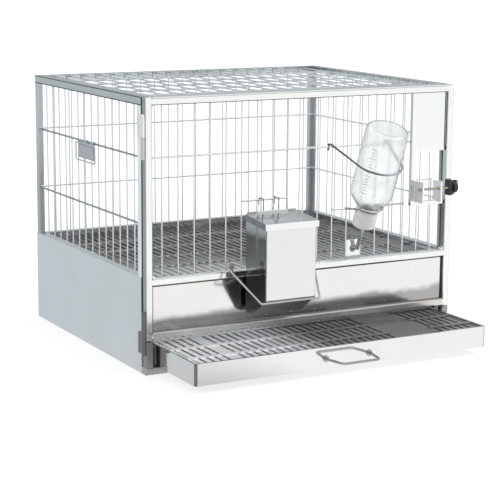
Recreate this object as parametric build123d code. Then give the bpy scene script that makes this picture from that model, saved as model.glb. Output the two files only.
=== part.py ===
from build123d import *
from math import atan2, cos, radians, sin
import os

# Overall size of the cage with its door, without the pieces that hang on it
cage_width = 600.0
cage_depth = 483.0
cage_height = 455.0

# Stock that the frame is made from
door_tube = 13.0
tube_wall = 1.2
tube_corner = 2.5
angle_leg = 14.0
angle_wall = 2.0
base_tube_width = 15.0
base_tube_height = 12.0
sheet = 1.0

# Clearances
door_gap = 5.5
slide_gap = 0.3
pin_gap = 0.05

# Lower sheet walls and welded wire walls
skirt_height = 161.0
upright_wire = 2.5
rib_wire = 3.5
upright_pitch = 29.4
upper_rib_height = 357.0
lower_rib_height = 248.0
roof_rib_pitch = 75.0
wire_under_leg = 4.0

# Lift-out wire floor
floor_ledge_height = 140.0
floor_ledge_width = 24.0
floor_pitch = 15.0
floor_rib_pitch = 85.0
floor_edge_gap = 2.0

# Drawer tray, pulled out as far as it stands at rest
tray_length = 458.0
tray_pulled = 139.0
tray_rim_height = 50.0
tray_side_gap = 6.0
tray_corner = 6.0
tray_rim_fold = 4.0
runner_sheet = 1.5
runner_reach = 20.0
grate_height = 48.0
grate_pitch = 14.2
grate_slat_width = 9.0
grate_sheet = 1.5
grate_strip_width = 9.0
grate_strip_pitch = 63.0
grate_strip_lap = 6.0
grate_band_place = -198.8
grate_band_width = 23.2
grate_plate_place = 149.1
grate_plate_width = 94.2
tray_ledge_width = 10.0
tray_handle_wire = 4.5
tray_handle_feet = 84.0
tray_handle_grip = 70.0
tray_handle_reach = 43.0
tray_handle_height = 31.0
tray_handle_bend = 8.0
tray_boss = 11.0
tray_boss_height = 2.0

# Door
door_tray_gap = 8.0
portal_gap = 2.0
window_corner = 9.0
panel_recess = 6.5
panel_return = 5.5
wire_lap = 8.0

# Blank plate and flat bars in the door's latch corner
plate_width = 70.6
plate_height = 96.3
plate_edge_gap = 3.0
strip_width = 7.5
bar_height = 6.5
bar_depth = 7.5
latch_bar_height = 246.7
corner_wire_height = 287.5

# Door hinges
hinge_height = 72.0
upper_hinge_height = 392.0
lower_hinge_height = 70.0
hinge_leaf = 1.5
hinge_leaf_width = 10.0
hinge_set = 2.0
hinge_knuckle = 6.4
hinge_pin = 3.1

# Door latch
latch_height = 274.0
latch_rod = 5.0
latch_rod_set = 10.2
latch_rod_tail = 7.0
latch_bearing_inset = 2.0
latch_bearing_width = 7.0
latch_bearing_height = 27.0
latch_bearing_wall = 2.0
latch_eye_inset = 4.5
latch_eye_spread = 38.5
latch_eye_sheet = 3.0
latch_eye_rise = 13.0
latch_edge_gap = 1.2
tongue_sheet = 3.0
tongue_hub = 8.0
tongue_arm_width = 6.0
tongue_reach = 12.0
tongue_tip = 3.0
tongue_hook = 6.0
knob_diameter = 19.4
knob_length = 8.2
knob_gap = 0.5
knob_edge = 1.5
keeper_sheet = 2.5
keeper_play = 0.8
keeper_arm_height = 4.2

# Feeder that hangs on the door
feeder_place = -69.8
feeder_width = 95.0
feeder_reach = 69.0
feeder_gap = 2.0
feeder_floor = 88.0
feeder_floor_depth = 22.0
feeder_slope_top = 120.0
feeder_top_rear = 254.5
feeder_top_front = 247.5
feeder_fold = 2.0
mouth_width = 66.0
mouth_bottom = 168.0
mouth_top = 232.0
mouth_wire_gap = 4.0
hanger_height = 275.0
baffle_foot_depth = 38.0
baffle_foot_height = 152.0
baffle_top_height = 240.0
hook_wire = 2.0
hook_side = 4.0
hook_bend = 2.0
hook_root = 14.0
hook_drop = 10.0
hook_play = 0.75

# Feeder lid and its hinge
lid_sheet = 1.0
lid_lip = 9.5
lid_side_gap = 2.0
lid_knuckle = 4.4
lid_knuckle_rise = 2.2
lid_pin = 2.3
lid_knuckle_length = 61.0
lid_end_knuckle = 15.0

# Wire bail that holds the feeder to the door
bail_wire = 3.5
bail_place = -72.8
bail_pivots = 147.0
bail_bar = 111.0
bail_pivot_height = 170.0
bail_pivot_set = 5.0
bail_bar_gap = 3.5
bail_bar_height = 118.0
bail_end = 4.0
bail_bend = 4.0
lug_sheet = 3.0
lug_width = 9.5
lug_height = 24.0

# Drinking bottle, hung upside down with its base leaning out
bottle_place = 108.0
bottle_lean = 22.0
bottle_diameter = 74.0
bottle_body = 129.0
bottle_shoulder = 28.0
bottle_neck = 30.0
bottle_wall = 1.6
bottle_base_edge = 9.0
bottle_shoulder_bend = 16.0
bottle_neck_bend = 5.0
cap_diameter = 40.0
cap_height = 30.0
cap_wall = 2.5
cap_grid_gap = 1.75
cap_mouth_height = 222.0
sipper_tube = 7.0
sipper_bore = 5.0
sipper_tip_rise = 14.64
sipper_flange = 16.0
cradle_wire = 3.5
cradle_rise = 8.5
loop_bend_share = 0.9
retainer_wire = 3.5
retainer_rise = 119.0
retainer_hook_spread = 114.0
retainer_hook_reach = 4.2
retainer_hook_drop = 7.0
retainer_hook_bend = 3.0

# Plate with a hole in front of the drinking tube
sipper_plate_height = 31.0
sipper_plate_sheet = 1.5
sipper_plate_gap = 2.3
sipper_hole = 14.0

# Blank card holder on the left wall
card_place = 231.0
card_width = 70.0
card_height = 28.5
card_drop = 1.0
card_wire = 2.5
card_frame_width = 83.0
card_frame_height = 30.0
card_frame_bend = 4.0
card_ring_width = 9.0
card_ring_wall = 1.2

# Main planes
half_width = cage_width / 2
door_back = -door_gap / 2
door_front = door_back - door_tube
body_front = door_gap / 2
body_rear = door_front + cage_depth
frame_x = half_width - sheet
frame_rear = body_rear - sheet
post_x = frame_x - angle_leg
post_front = body_front + angle_leg
post_rear = frame_rear - angle_leg
rail_bottom = cage_height - angle_leg
roof_underside = cage_height - angle_wall
window_x = half_width - door_tube
window_top = cage_height - door_tube
window_bottom = skirt_height
door_bottom = tray_rim_height + door_tray_gap
panel_bottom = door_bottom + door_tube
panel_top = window_bottom - door_tube
door_upright_y = door_back + upright_wire / 2
door_rib_y = door_upright_y - (rib_wire + upright_wire) / 2
panel_front = door_front + panel_recess
plate_left = window_x - plate_width
plate_bottom = window_top - plate_height
wall_rib_set = angle_wall + rib_wire / 2
wall_upright_set = wall_rib_set + (rib_wire + upright_wire) / 2


def block(x_limits, y_limits, z_limits):
    """Box between two limits on each axis, given in either order."""
    limits = [sorted(pair) for pair in (x_limits, y_limits, z_limits)]
    size = [high - low for low, high in limits]
    middle = [(high + low) / 2 for low, high in limits]
    return Pos(*middle) * Box(*size)


def rod(start, end, diameter):
    """Straight round bar between two points."""
    start, end = Vector(*start), Vector(*end)
    axis = end - start
    bar = Cylinder(diameter / 2, axis.length, align=(Align.CENTER, Align.CENTER, Align.MIN))
    return Plane(origin=start, z_dir=axis) * bar


def bent_wire(points, bend, diameter, close=False):
    """Round wire along straight runs joined by bends."""
    path = FilletPolyline(*points, radius=bend, close=close)
    section = Plane(origin=path @ 0, z_dir=path % 0) * Circle(diameter / 2)
    return sweep(section, path=path)


def prism(outline, x_limits):
    """Sheet or block with an outline in Y and Z, between two places in X."""
    low, high = sorted(x_limits)
    face = Plane.YZ.offset(low) * make_face(Polyline(*outline, close=True))
    return extrude(face, amount=high - low)


def spread(span, pitch):
    """Evenly pitched places, centred, that fit in a span."""
    count = int(span / pitch)
    return [(index - (count - 1) / 2) * pitch for index in range(count)]


def rounded_bar(limits, axis, radius):
    """Rectangular bar with its long edges rounded as on drawn tube."""
    return fillet(block(*limits).edges().filter_by(axis), radius)


def square_tube(x_limits, y_limits, z_limits, axis):
    """Square tube, open at both ends of its axis."""
    limits = [sorted(pair) for pair in (x_limits, y_limits, z_limits)]
    inner = [pair if name is axis else (pair[0] + tube_wall, pair[1] - tube_wall)
             for name, pair in zip((Axis.X, Axis.Y, Axis.Z), limits)]
    hollow = rounded_bar(inner, axis, tube_corner - tube_wall)
    return rounded_bar(limits, axis, tube_corner) - hollow


def capped_tube(x_limits, y_limits, z_limits):
    """Upright square tube, open below and closed on top."""
    limits = [sorted(pair) for pair in (x_limits, y_limits, z_limits)]
    inner = [(low + tube_wall, high - tube_wall) for low, high in limits[:2]]
    inner.append((limits[2][0], limits[2][1] - tube_wall))
    hollow = rounded_bar(inner, Axis.Z, tube_corner - tube_wall)
    return rounded_bar(limits, Axis.Z, tube_corner) - hollow


# Base frame

def front_sill():
    return square_tube((-frame_x, frame_x), (door_front, body_front + base_tube_width),
                       (0, base_tube_height), Axis.X)


def rear_sill():
    return square_tube((-frame_x, frame_x), (frame_rear - base_tube_width, frame_rear),
                       (0, base_tube_height), Axis.X)


def base_rail(side):
    return square_tube((side * (frame_x - base_tube_width), side * frame_x),
                       (body_front + base_tube_width, frame_rear - base_tube_width),
                       (0, base_tube_height), Axis.Y)


def portal_post(side):
    """Short fixed post beside the tray slot, under the door's stile."""
    return capped_tube((side * window_x, side * half_width), (door_front, door_back),
                       (base_tube_height, door_bottom - portal_gap))


# Angle frame above the base

def corner_post(side, face, inward):
    height = (base_tube_height, rail_bottom)
    side_leg = block((side * frame_x, side * (frame_x - angle_wall)),
                     (face, face + inward * angle_leg), height)
    cross_leg = block((side * frame_x, side * post_x), (face, face + inward * angle_wall), height)
    return side_leg + cross_leg


def side_top_rail(side):
    length = (body_front, frame_rear)
    upright_leg = block((side * frame_x, side * (frame_x - angle_wall)), length,
                        (rail_bottom, cage_height))
    flat_leg = block((side * frame_x, side * post_x), length, (roof_underside, cage_height))
    return upright_leg + flat_leg


def cross_top_rail(face, inward):
    length = (-frame_x, frame_x)
    upright_leg = block(length, (face, face + inward * angle_wall), (rail_bottom, cage_height))
    flat_leg = block(length, (face, face + inward * angle_leg), (roof_underside, cage_height))
    return upright_leg + flat_leg - side_top_rail(-1) - side_top_rail(1)


# Lower sheet walls with a folded top edge

def side_skirt(side):
    wall = block((side * half_width, side * frame_x), (body_front, body_rear), (0, skirt_height))
    fold = block((side * frame_x, side * post_x), (post_front, post_rear),
                 (skirt_height - sheet, skirt_height))
    return wall + fold


def rear_skirt():
    wall = block((-frame_x, frame_x), (frame_rear, body_rear), (0, skirt_height))
    fold = block((-post_x, post_x), (post_rear, frame_rear), (skirt_height - sheet, skirt_height))
    return wall + fold


# Welded wire walls, roof and floor

def side_wall_grid(side):
    rib_x = side * (frame_x - wall_rib_set)
    upright_x = side * (frame_x - wall_upright_set)
    middle = (post_front + post_rear) / 2
    ribs = [rod((rib_x, body_front + angle_wall, z), (rib_x, frame_rear - angle_wall, z), rib_wire)
            for z in (upper_rib_height, lower_rib_height)]
    uprights = [rod((upright_x, middle + y, skirt_height), (upright_x, middle + y, roof_underside),
                    upright_wire)
                for y in spread(post_rear - post_front, upright_pitch)]
    return ribs + uprights


def rear_wall_grid():
    rib_y = frame_rear - wall_rib_set
    upright_y = frame_rear - wall_upright_set
    rib_end = frame_x - wall_rib_set - rib_wire / 2 - slide_gap
    ribs = [rod((-rib_end, rib_y, z), (rib_end, rib_y, z), rib_wire)
            for z in (upper_rib_height, lower_rib_height)]
    uprights = [rod((x, upright_y, skirt_height), (x, upright_y, roof_underside), upright_wire)
                for x in spread(2 * post_x, upright_pitch)]
    return ribs + uprights


def roof_grid():
    wire_z = roof_underside - upright_wire / 2
    rib_z = wire_z - (upright_wire + rib_wire) / 2
    middle = (post_front + post_rear) / 2
    wires = [rod((x, post_front - wire_under_leg, wire_z), (x, post_rear + wire_under_leg, wire_z),
                 upright_wire)
             for x in spread(2 * post_x, upright_pitch)]
    ribs = [rod((-post_x, middle + y, rib_z), (post_x, middle + y, rib_z), rib_wire)
            for y in spread(post_rear - post_front, roof_rib_pitch)]
    return wires + ribs


def floor_ledge(side):
    shelf = block((side * frame_x, side * (frame_x - floor_ledge_width)), (post_front, post_rear),
                  (floor_ledge_height - sheet, floor_ledge_height))
    leg = block((side * frame_x, side * (frame_x - sheet)), (post_front, post_rear),
                (floor_ledge_height - angle_leg, floor_ledge_height))
    return shelf + leg


def floor_grid():
    rib_z = floor_ledge_height + rib_wire / 2
    wire_z = rib_z + (rib_wire + upright_wire) / 2
    middle = (post_front + post_rear) / 2
    rib_end = post_x - floor_edge_gap
    wires = [rod((x, post_front, wire_z), (x, post_rear, wire_z), upright_wire)
             for x in spread(2 * rib_end, floor_pitch)]
    ribs = [rod((-rib_end, middle + y, rib_z), (rib_end, middle + y, rib_z), rib_wire)
            for y in spread(post_rear - post_front, floor_rib_pitch)]
    return wires + ribs


# Drawer tray

tray_x = window_x - tray_side_gap
tray_bottom = base_tube_height + runner_sheet + slide_gap
tray_front = door_front - tray_pulled
tray_back = tray_front + tray_length
tray_middle = (tray_front + tray_back) / 2


def tray_runner(side):
    inner = frame_x - base_tube_width
    length = (body_front + base_tube_width, frame_rear - base_tube_width)
    top = base_tube_height + runner_sheet
    shelf = block((side * inner, side * (inner - runner_reach)), length, (base_tube_height, top))
    leg = block((side * inner, side * (inner - runner_sheet)), length, (runner_sheet, top))
    return shelf + leg


def tray_layer(inset, low, high):
    """Rounded rectangular slab of the tray's outline, drawn in by an inset."""
    corner = max(tray_corner - inset, sheet)
    outline = RectangleRounded(2 * (tray_x - inset), tray_length - 2 * inset, corner)
    return Pos(0, tray_middle, low) * extrude(outline, amount=high - low)


def tray_pan():
    body = tray_layer(0, tray_bottom, tray_rim_height)
    hollow = tray_layer(sheet, tray_bottom + sheet, tray_rim_height - sheet)
    mouth = tray_layer(tray_rim_fold, tray_rim_height - sheet, tray_rim_height)
    return body - hollow - mouth


def tray_ledge(side):
    wall = tray_x - sheet
    length = (tray_front + tray_corner, tray_back - tray_corner)
    shelf = block((side * wall, side * (wall - tray_ledge_width)), length,
                  (grate_height - sheet, grate_height))
    leg = block((side * wall, side * (wall - sheet)), length,
                (grate_height - tray_ledge_width, grate_height))
    return shelf + leg


def tray_grate():
    """Flat slats, a wider band and a plate, hung under flat cross strips that rest on the ledges."""
    inset = tray_rim_fold + sheet
    end = tray_x - inset
    length = (tray_front + inset, tray_back - inset)
    half_strip = grate_strip_width / 2
    wide = [(grate_band_place, grate_band_width), (grate_plate_place, grate_plate_width)]
    narrow = [(x, grate_slat_width) for x in spread(2 * end, grate_pitch)
              if all(abs(x - place) > (width + grate_pitch) / 2 for place, width in wide)]
    slats = [block((x - width / 2, x + width / 2), length, (grate_height - grate_sheet, grate_height))
             for x, width in wide + narrow]
    half_opening = grate_plate_width / 2 - grate_strip_lap
    runs = [(-end, grate_plate_place - half_opening), (grate_plate_place + half_opening, end)]
    strips = [block(run, (tray_middle + y - half_strip, tray_middle + y + half_strip),
                    (grate_height, grate_height + grate_sheet))
              for run in runs for y in spread(tray_length - 2 * inset, grate_strip_pitch)]
    return slats + strips


def tray_handle():
    foot, grip = tray_handle_feet / 2, tray_handle_grip / 2
    knee = tray_front - tray_boss_height - tray_handle_wire
    end = tray_front - tray_handle_reach
    half = [(-foot, tray_front), (-foot, knee), (-grip, end)]
    other_half = [(-x, y) for x, y in reversed(half)]
    points = [(x, y, tray_handle_height) for x, y in half + other_half]
    bends = [tray_handle_wire, tray_handle_bend, tray_handle_bend, tray_handle_wire]
    return bent_wire(points, bends, tray_handle_wire)


def handle_boss(side):
    foot = side * tray_handle_feet / 2
    face = (foot, tray_front, tray_handle_height)
    crown = (foot, tray_front - tray_boss_height, tray_handle_height)
    return rod(face, crown, tray_boss) - rod(face, crown, tray_handle_wire + 2 * pin_gap)


# Door frame

def door_stile(side):
    return capped_tube((side * window_x, side * half_width), (door_front, door_back),
                       (door_bottom, cage_height))


def door_rail(low):
    return square_tube((-window_x, window_x), (door_front, door_back), (low, low + door_tube), Axis.X)


def window_web(side, level, inward):
    """Fillet piece that rounds one inner corner of the window."""
    x = side * window_x
    front, back = door_front + tube_corner, door_back - tube_corner
    corner = block((x, x - side * window_corner), (front, back),
                   (level, level + inward * window_corner))
    centre_x = x - side * window_corner
    centre_z = level + inward * window_corner
    round_cut = rod((centre_x, front, centre_z), (centre_x, back, centre_z), 2 * window_corner)
    return corner - round_cut


def door_panel():
    depth = (panel_front, panel_front + sheet + panel_return)
    shell = block((-window_x, window_x), depth, (panel_bottom, panel_top))
    hollow = block((-window_x + sheet, window_x - sheet), (depth[0] + sheet, depth[1]),
                   (panel_bottom + sheet, panel_top - sheet))
    return shell - hollow


door_uprights = spread(2 * window_x, upright_pitch)
mouth_uprights = [x for x in door_uprights if abs(x - feeder_place) < mouth_width / 2]
hanger_left = max(x for x in door_uprights if x < feeder_place - mouth_width / 2)
hanger_right = min(x for x in door_uprights if x > feeder_place + mouth_width / 2)
corner_uprights = [x for x in door_uprights if x > plate_left]
latch_bar_low = latch_bar_height - bar_height / 2


def door_upright(x):
    """One upright on the rails' backs, cut short at the feeder's mouth and in the latch corner."""
    low = mouth_top + mouth_wire_gap if x in mouth_uprights else window_bottom - wire_lap
    high = corner_wire_height - upright_wire / 2 if x in corner_uprights else window_top + wire_lap
    return rod((x, door_upright_y, low), (x, door_upright_y, high), upright_wire)


def door_grid():
    """Upper rib, hanger wire for the feeder, short wire in the latch corner, and the uprights."""
    def cross(left, right, y, z, wire):
        return rod((left, y, z), (right, y, z), wire)

    rib = cross(-window_x, plate_left, door_rib_y, upper_rib_height, rib_wire)
    hanger = cross(hanger_left, hanger_right, door_rib_y, hanger_height, rib_wire)
    corner = cross(corner_uprights[0], corner_uprights[-1], door_upright_y, corner_wire_height,
                   upright_wire)
    return [rib, hanger, corner] + [door_upright(x) for x in door_uprights]


bar_face = panel_front - sheet
strip_right = plate_left + strip_width


def corner_plate():
    return block((strip_right, window_x - plate_edge_gap), (bar_face, panel_front),
                 (plate_bottom, window_top))


def corner_bars():
    """Upright strip and two flat bars that frame the plate and the latch corner."""
    depth = (bar_face, bar_face + bar_depth)
    strip = block((plate_left, strip_right), depth, (latch_bar_low, window_top))
    upper = block((strip_right, window_x), depth, (plate_bottom - bar_height, plate_bottom))
    lower = block((strip_right, window_x), depth, (latch_bar_low, latch_bar_low + bar_height))
    return [strip, upper, lower]


# Pinned hinges on the left edge: the body's knuckles are the topmost and the lowest one

hinge_x = -half_width - hinge_knuckle / 2 - slide_gap
hinge_y = door_front + hinge_set
hinge_face = half_width + hinge_leaf


def hinge_bar(low, high, diameter):
    return rod((hinge_x, hinge_y, low), (hinge_x, hinge_y, high), diameter)


def hinge_end(height, outward):
    """Height limits of one half of a hinge, on the side of its middle that is named."""
    return sorted((height + outward * slide_gap / 2, height + outward * hinge_height / 2))


def hinge_body_half(height, outward):
    """Leaf on the body's side, with an arm past the door's edge to the knuckle."""
    level = hinge_end(height, outward)
    seat = half_width if height < skirt_height else frame_x
    leaf = block((-hinge_face, -seat), (body_front, body_front + hinge_leaf_width), level)
    arm = block((-hinge_face, -half_width - slide_gap), (hinge_y, body_front), level)
    knuckle = hinge_bar(*level, hinge_knuckle)
    return leaf + arm + knuckle - hinge_bar(*level, hinge_pin + 2 * pin_gap)


def hinge_door_half(height, outward):
    """Leaf on the edge of the door's stile, with its knuckle."""
    level = hinge_end(height, -outward)
    leaf = block((-hinge_face, -half_width), (hinge_y, door_back - tube_corner), level)
    knuckle = hinge_bar(*level, hinge_knuckle)
    return leaf + knuckle - hinge_bar(*level, hinge_pin + 2 * pin_gap)


def hinge_pin_rod(height):
    return hinge_bar(height - hinge_height / 2, height + hinge_height / 2, hinge_pin)


# Rod latch: the knob turns the rod, and the tongue hooks behind the keeper on the body

latch_y = door_front - latch_rod_set
latch_eye_places = (strip_right + latch_eye_inset, strip_right + latch_eye_inset + latch_eye_spread)
latch_rod_left = latch_eye_places[0] - latch_rod_tail
tongue_inner = half_width + latch_edge_gap
tongue_outer = tongue_inner + tongue_sheet
knob_outer = tongue_inner - knob_gap
knob_inner = knob_outer - knob_length


def latch_bar(left, right, diameter):
    return rod((left, latch_y, latch_height), (right, latch_y, latch_height), diameter)


def latch_bearing():
    left = window_x - latch_bearing_inset
    width = (left, left + latch_bearing_width)
    front = latch_y - latch_rod / 2 - latch_bearing_wall
    body = block(width, (front, door_front),
                 (latch_height - latch_bearing_height / 2, latch_height + latch_bearing_height / 2))
    return body - latch_bar(*width, latch_rod + 2 * pin_gap)


def latch_eye(place):
    width = (place - latch_eye_sheet / 2, place + latch_eye_sheet / 2)
    front = latch_y - latch_rod / 2 - latch_eye_sheet
    body = block(width, (front, bar_face + bar_depth / 2),
                 (latch_bar_low + bar_height, latch_height + latch_eye_rise))
    return body - latch_bar(*width, latch_rod + 2 * pin_gap)


def latch_tongue():
    """Flat hook on the rod, standing up while the door is free."""
    width = (tongue_inner, tongue_outer)
    half_arm = tongue_arm_width / 2
    top = latch_height + tongue_reach
    hub = latch_bar(*width, tongue_hub)
    arm = block(width, (latch_y - half_arm, latch_y + half_arm), (latch_height, top))
    tip = block(width, (latch_y + half_arm, latch_y + half_arm + tongue_hook), (top - tongue_tip, top))
    return hub + arm + tip - latch_bar(*width, latch_rod + 2 * pin_gap)


def latch_knob():
    body = latch_bar(knob_inner, knob_outer, knob_diameter)
    ends = body.edges().filter_by(GeomType.CIRCLE)
    return fillet(ends, knob_edge) - latch_bar(knob_inner, knob_outer, latch_rod + 2 * pin_gap)


def latch_keeper():
    """Arm on the right front post, with an upstand that the turned tongue hooks behind."""
    width = (tongue_inner, tongue_outer)
    rear = latch_y + tongue_reach - tongue_tip - keeper_play
    front = rear - keeper_sheet
    top = latch_height - tongue_arm_width / 2 - keeper_play
    level = (top - tongue_hook - keeper_arm_height, top - tongue_hook)
    root = block((frame_x, tongue_outer), (body_front, post_front), level)
    arm = block(width, (front, body_front), level)
    upstand = block(width, (front, rear), (level[0], top))
    return root + arm + upstand


# Feeder: a sheet hopper with a sloped front bottom, open to the cage through its mouth

feeder_back = door_front - feeder_gap
feeder_front = feeder_back - feeder_reach
feeder_left = feeder_place - feeder_width / 2
feeder_right = feeder_place + feeder_width / 2
feeder_inside = (feeder_left + sheet, feeder_right - sheet)
lid_pivot_y = feeder_back - lid_knuckle / 2
lid_pivot_z = feeder_top_rear + lid_knuckle_rise


def lid_bar(low, high, diameter):
    return rod((feeder_place + low, lid_pivot_y, lid_pivot_z),
               (feeder_place + high, lid_pivot_y, lid_pivot_z), diameter)


def feeder_outline():
    return [(feeder_back, feeder_floor), (feeder_back - feeder_floor_depth, feeder_floor),
            (feeder_front, feeder_slope_top), (feeder_front, feeder_top_front),
            (feeder_back, feeder_top_rear)]


def lid_hinge_ear(side):
    """Fixed knuckle at one end of the lid's knuckle, on the hopper's rear wall."""
    near = side * (lid_knuckle_length / 2 + slide_gap)
    far = near + side * lid_end_knuckle
    stem = block((feeder_place + near, feeder_place + far), (feeder_back, feeder_back - sheet),
                 (feeder_top_rear - lid_knuckle, lid_pivot_z))
    return lid_bar(*sorted((near, far)), lid_knuckle) + stem


def feeder_hopper():
    shell = prism(feeder_outline(), (feeder_left, feeder_right))
    shell = fillet(shell.edges().filter_by(Axis.Z).group_by(Axis.Y)[0], feeder_fold)
    face = Plane.YZ.offset(feeder_inside[0]) * make_face(Polyline(*feeder_outline(), close=True))
    hollow = extrude(offset(face, amount=-sheet, kind=Kind.INTERSECTION),
                     amount=feeder_inside[1] - feeder_inside[0])
    top = block(feeder_inside, (feeder_front + sheet, feeder_back - sheet),
                (feeder_top_front - lid_lip, feeder_top_rear + lid_lip))
    mouth = block((feeder_place - mouth_width / 2, feeder_place + mouth_width / 2),
                  (feeder_back, feeder_back - sheet), (mouth_bottom, mouth_top))
    body = shell - hollow - top - mouth + lid_hinge_ear(-1) + lid_hinge_ear(1)
    ends = lid_knuckle_length / 2 + slide_gap + lid_end_knuckle
    return body - lid_bar(-ends, ends, lid_pin + 2 * pin_gap)


def feeder_baffle():
    """Sloped sheet that leads the feed forward and leaves the mouth clear."""
    top_y = feeder_back - sheet
    foot_y = feeder_back - baffle_foot_depth
    outline = [(top_y, baffle_top_height), (foot_y, baffle_foot_height),
               (foot_y - sheet, baffle_foot_height), (top_y - sheet, baffle_top_height)]
    return prism(outline, feeder_inside)


def feeder_hook(x):
    """Wire from the hopper's rear wall over the hanger wire."""
    front = feeder_back + hook_wire / 2
    rear = door_rib_y + (rib_wire + hook_wire) / 2 + hook_play
    top = hanger_height + (rib_wire + hook_wire) / 2 + slide_gap
    points = [(x, front, feeder_top_rear - hook_root), (x, front, top), (x, rear, top),
              (x, rear, hanger_height - hook_drop)]
    return bent_wire(points, hook_bend, hook_wire)


def feeder_hooks():
    return [feeder_hook(x + hook_side) for x in mouth_uprights]


def lid_pin_rod():
    ends = lid_knuckle_length / 2 + slide_gap + lid_end_knuckle
    return lid_bar(-ends, ends, lid_pin)


def feeder_lid():
    """Sloped cap with a folded lip on three sides, hinged along its rear edge."""
    half = feeder_width / 2 + lid_side_gap
    outer = half + lid_sheet
    front = feeder_front - lid_side_gap
    drop = (front - feeder_back) * (feeder_top_rear - feeder_top_front) / feeder_reach
    under = feeder_top_rear + slide_gap
    low = under + drop
    wide = (feeder_place - outer, feeder_place + outer)
    outline = [(lid_pivot_y, under), (front, low), (front, low - lid_lip),
               (front - lid_sheet, low - lid_lip), (front - lid_sheet, low + lid_sheet),
               (lid_pivot_y, under + lid_sheet)]
    cap = prism(outline, wide)
    lip_outline = [(lid_pivot_y, under), (front, low), (front, low - lid_lip),
                   (lid_pivot_y, under - lid_lip)]
    for side in (-1, 1):
        cap += prism(lip_outline, (feeder_place + side * half, feeder_place + side * outer))
    knuckle = lid_bar(-lid_knuckle_length / 2, lid_knuckle_length / 2, lid_knuckle)
    ear_room = lid_knuckle + 2 * slide_gap
    for side in (-1, 1):
        near = side * lid_knuckle_length / 2
        far = near + side * (lid_end_knuckle + 2 * slide_gap)
        cap -= lid_bar(*sorted((near, far)), ear_room)
    return cap + knuckle - lid_bar(-outer, outer, lid_pin + 2 * pin_gap)


# Bail that swings under the feeder's front edge

bail_y = door_front - bail_pivot_set


def bail_lug(side):
    x = bail_place + side * bail_pivots / 2
    width = (x - lug_sheet / 2, x + lug_sheet / 2)
    top = bail_pivot_height + lug_width / 2
    body = block(width, (door_front, door_front - lug_width), (top - lug_height, top))
    hole = rod((width[0], bail_y, bail_pivot_height), (width[1], bail_y, bail_pivot_height),
               bail_wire + 2 * pin_gap)
    return body - hole


def feeder_bail():
    pivot = bail_pivots / 2
    inner = pivot - lug_sheet / 2 - bail_end
    outer = pivot + lug_sheet / 2 + bail_end + bail_bend
    bar = bail_bar / 2
    bar_y = feeder_front - bail_bar_gap - bail_wire / 2
    half = [(-inner, bail_y, bail_pivot_height), (-outer, bail_y, bail_pivot_height),
            (-bar, bar_y, bail_bar_height)]
    other_half = [(-x, y, z) for x, y, z in reversed(half)]
    points = [(bail_place + x, y, z) for x, y, z in half + other_half]
    return bent_wire(points, bail_bend, bail_wire)


# Drinking bottle, worked out along its own leaning axis from the cap's mouth upwards

lean = radians(bottle_lean)
sipper_length = (cap_mouth_height - window_bottom - sipper_tip_rise) / cos(lean)
sipper_plate_front = door_upright_y - sipper_plate_sheet / 2
sipper_inner = sipper_length * sin(lean) + sipper_tube / 2 * cos(lean)
cap_mouth_y = min(door_rib_y - rib_wire / 2 - cap_grid_gap - cap_diameter / 2 * cos(lean),
                  sipper_plate_front - sipper_plate_gap - sipper_inner)
bottle_axis = Vector(0, -sin(lean), cos(lean))
bottle_frame = Plane(origin=(bottle_place, cap_mouth_y, cap_mouth_height), x_dir=(1, 0, 0),
                     z_dir=bottle_axis)
neck_top = cap_height
shoulder_top = neck_top + bottle_shoulder
base_top = shoulder_top + bottle_body
thread_gap = slide_gap


def turned(outline):
    """Solid turned round the bottle's axis from radius and height points."""
    face = Plane.XZ * make_face(Polyline(*outline, close=True))
    return bottle_frame * revolve(face, axis=Axis.Z)


def bottle_outline(inset):
    """Half outline of the bottle from its neck to the middle of its base, drawn in by an inset."""
    neck, body = bottle_neck / 2 - inset, bottle_diameter / 2 - inset
    top = base_top - inset
    points = [(neck, cap_wall + thread_gap), (neck, neck_top), (body, shoulder_top), (body, top), (0, top)]
    bends = [bottle_neck_bend, bottle_shoulder_bend, bottle_base_edge - inset]
    return FilletPolyline(*points, radius=bends)


def bottle_shell():
    outer, inner = bottle_outline(0), bottle_outline(bottle_wall)
    rim, middle = Line(outer @ 0, inner @ 0), Line(outer @ 1, inner @ 1)
    face = Plane.XZ * make_face(outer.edges() + inner.edges() + [rim, middle])
    return bottle_frame * revolve(face, axis=Axis.Z)


def bottle_cap():
    radius, bore = cap_diameter / 2, bottle_neck / 2 + thread_gap
    hole = sipper_tube / 2 + pin_gap
    top = neck_top - thread_gap
    return turned([(hole, 0), (radius, 0), (radius, top), (bore, top), (bore, cap_wall), (hole, cap_wall)])


def drinking_tube():
    outer, bore, flange = sipper_tube / 2, sipper_bore / 2, sipper_flange / 2
    seat = cap_wall
    return turned([(bore, -sipper_length), (outer, -sipper_length), (outer, seat), (flange, seat),
                   (flange, seat + thread_gap), (bore, seat + thread_gap)])


def loop_points(rise, radius):
    """Four points of a wire loop round the front of the bottle, square to its axis."""
    turn = radius * (2 ** 0.5 - 1)
    local = [(-radius, -turn), (-turn, -radius), (turn, -radius), (radius, -turn)]
    return [bottle_frame.from_local_coords(Vector(x, y, rise)) for x, y in local]


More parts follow.
